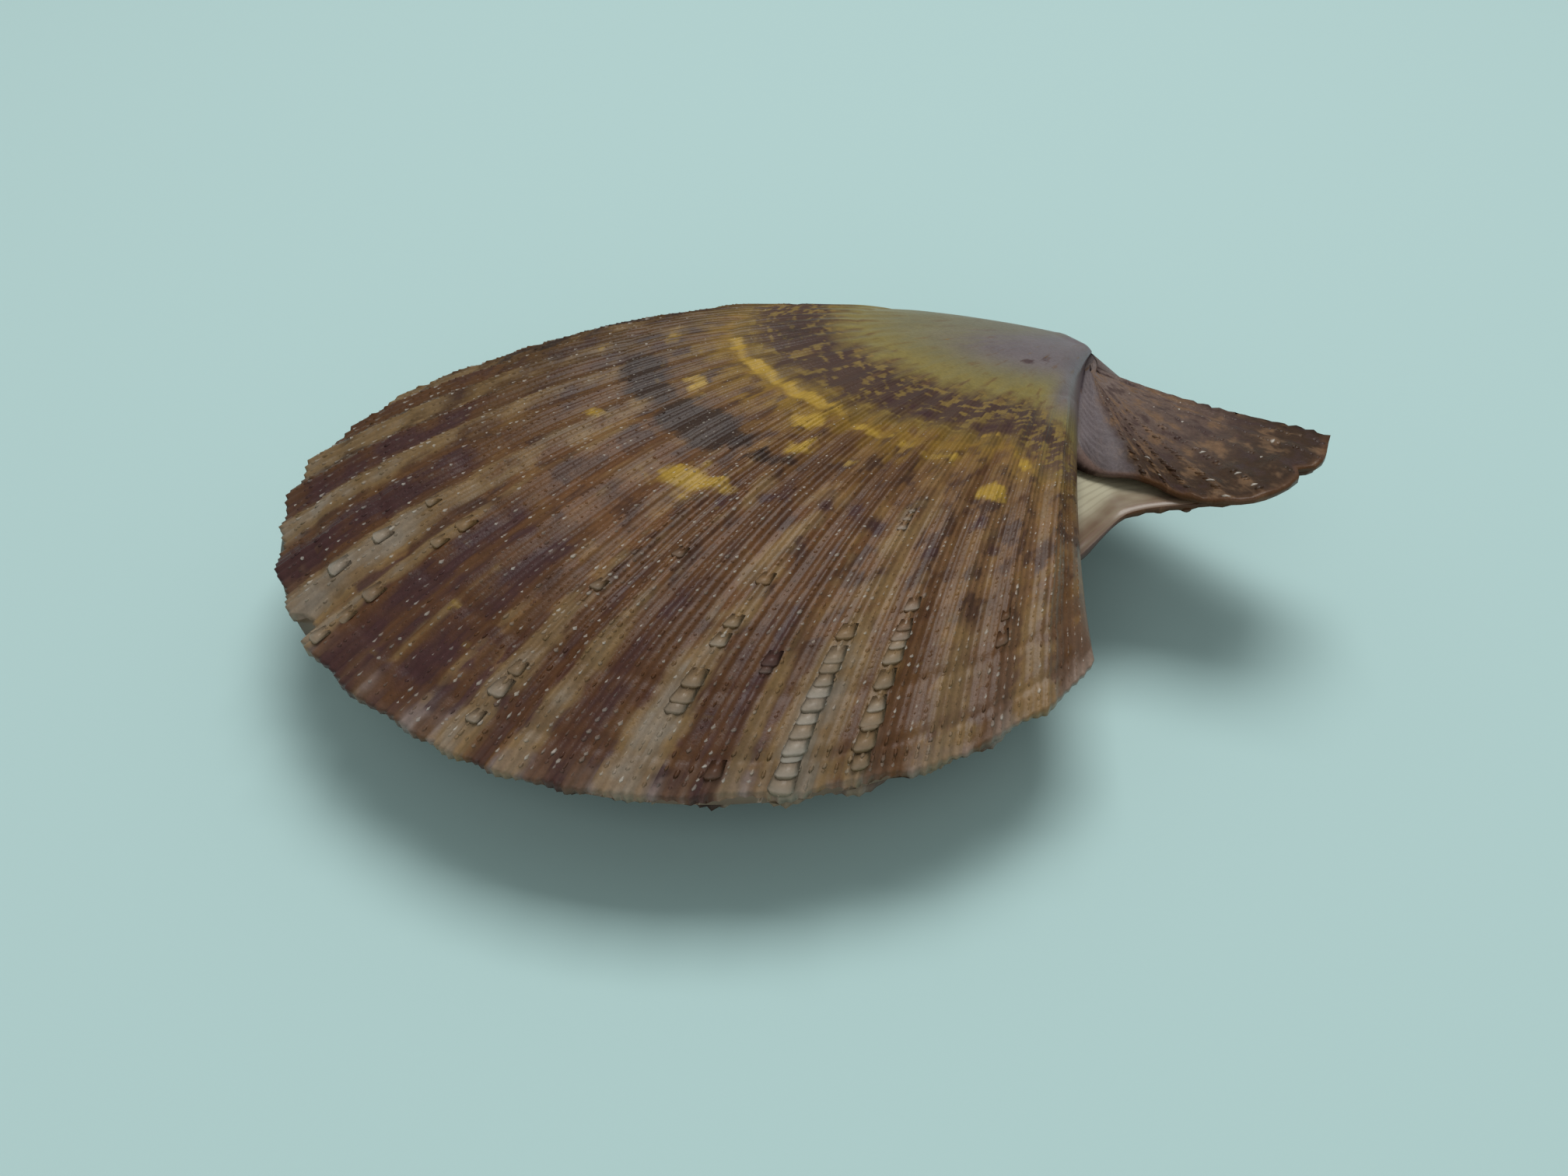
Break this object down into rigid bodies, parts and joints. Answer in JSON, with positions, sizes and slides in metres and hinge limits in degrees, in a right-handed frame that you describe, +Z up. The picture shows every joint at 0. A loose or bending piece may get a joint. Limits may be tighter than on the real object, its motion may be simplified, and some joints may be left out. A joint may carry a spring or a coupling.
{
  "type": "scallop shell",
  "caption": "Closed pair of scallop valves with scaly radial ribs, unequal ears and a dried hinge band, lying on a small flat spot of the lower valve.",
  "frame": {"origin": "centre of the plan box at the level of the surface the shell rests on", "axes": "+Z up, out through the upper (right) valve; +Y from the ventral margin to the beaks; +X forward along the hinge, towards the longer ears"},
  "size_m": [0.0462, 0.0538, 0.0141],
  "materials": {
    "upper_valve_shell": "calcite shell in banded brown, tan, cream and purple-grey, satin, with fine scaly riblets",
    "lower_valve_shell": "darker red-brown calcite shell with paler scales and a pale striated margin, satin",
    "ligament": "dried brown-black organic band"
  },
  "bodies": {
    "root": {"right_valve": "upper_valve_shell", "left_valve": "lower_valve_shell", "hinge_ligament": "ligament"}
  },
  "joints": []
}
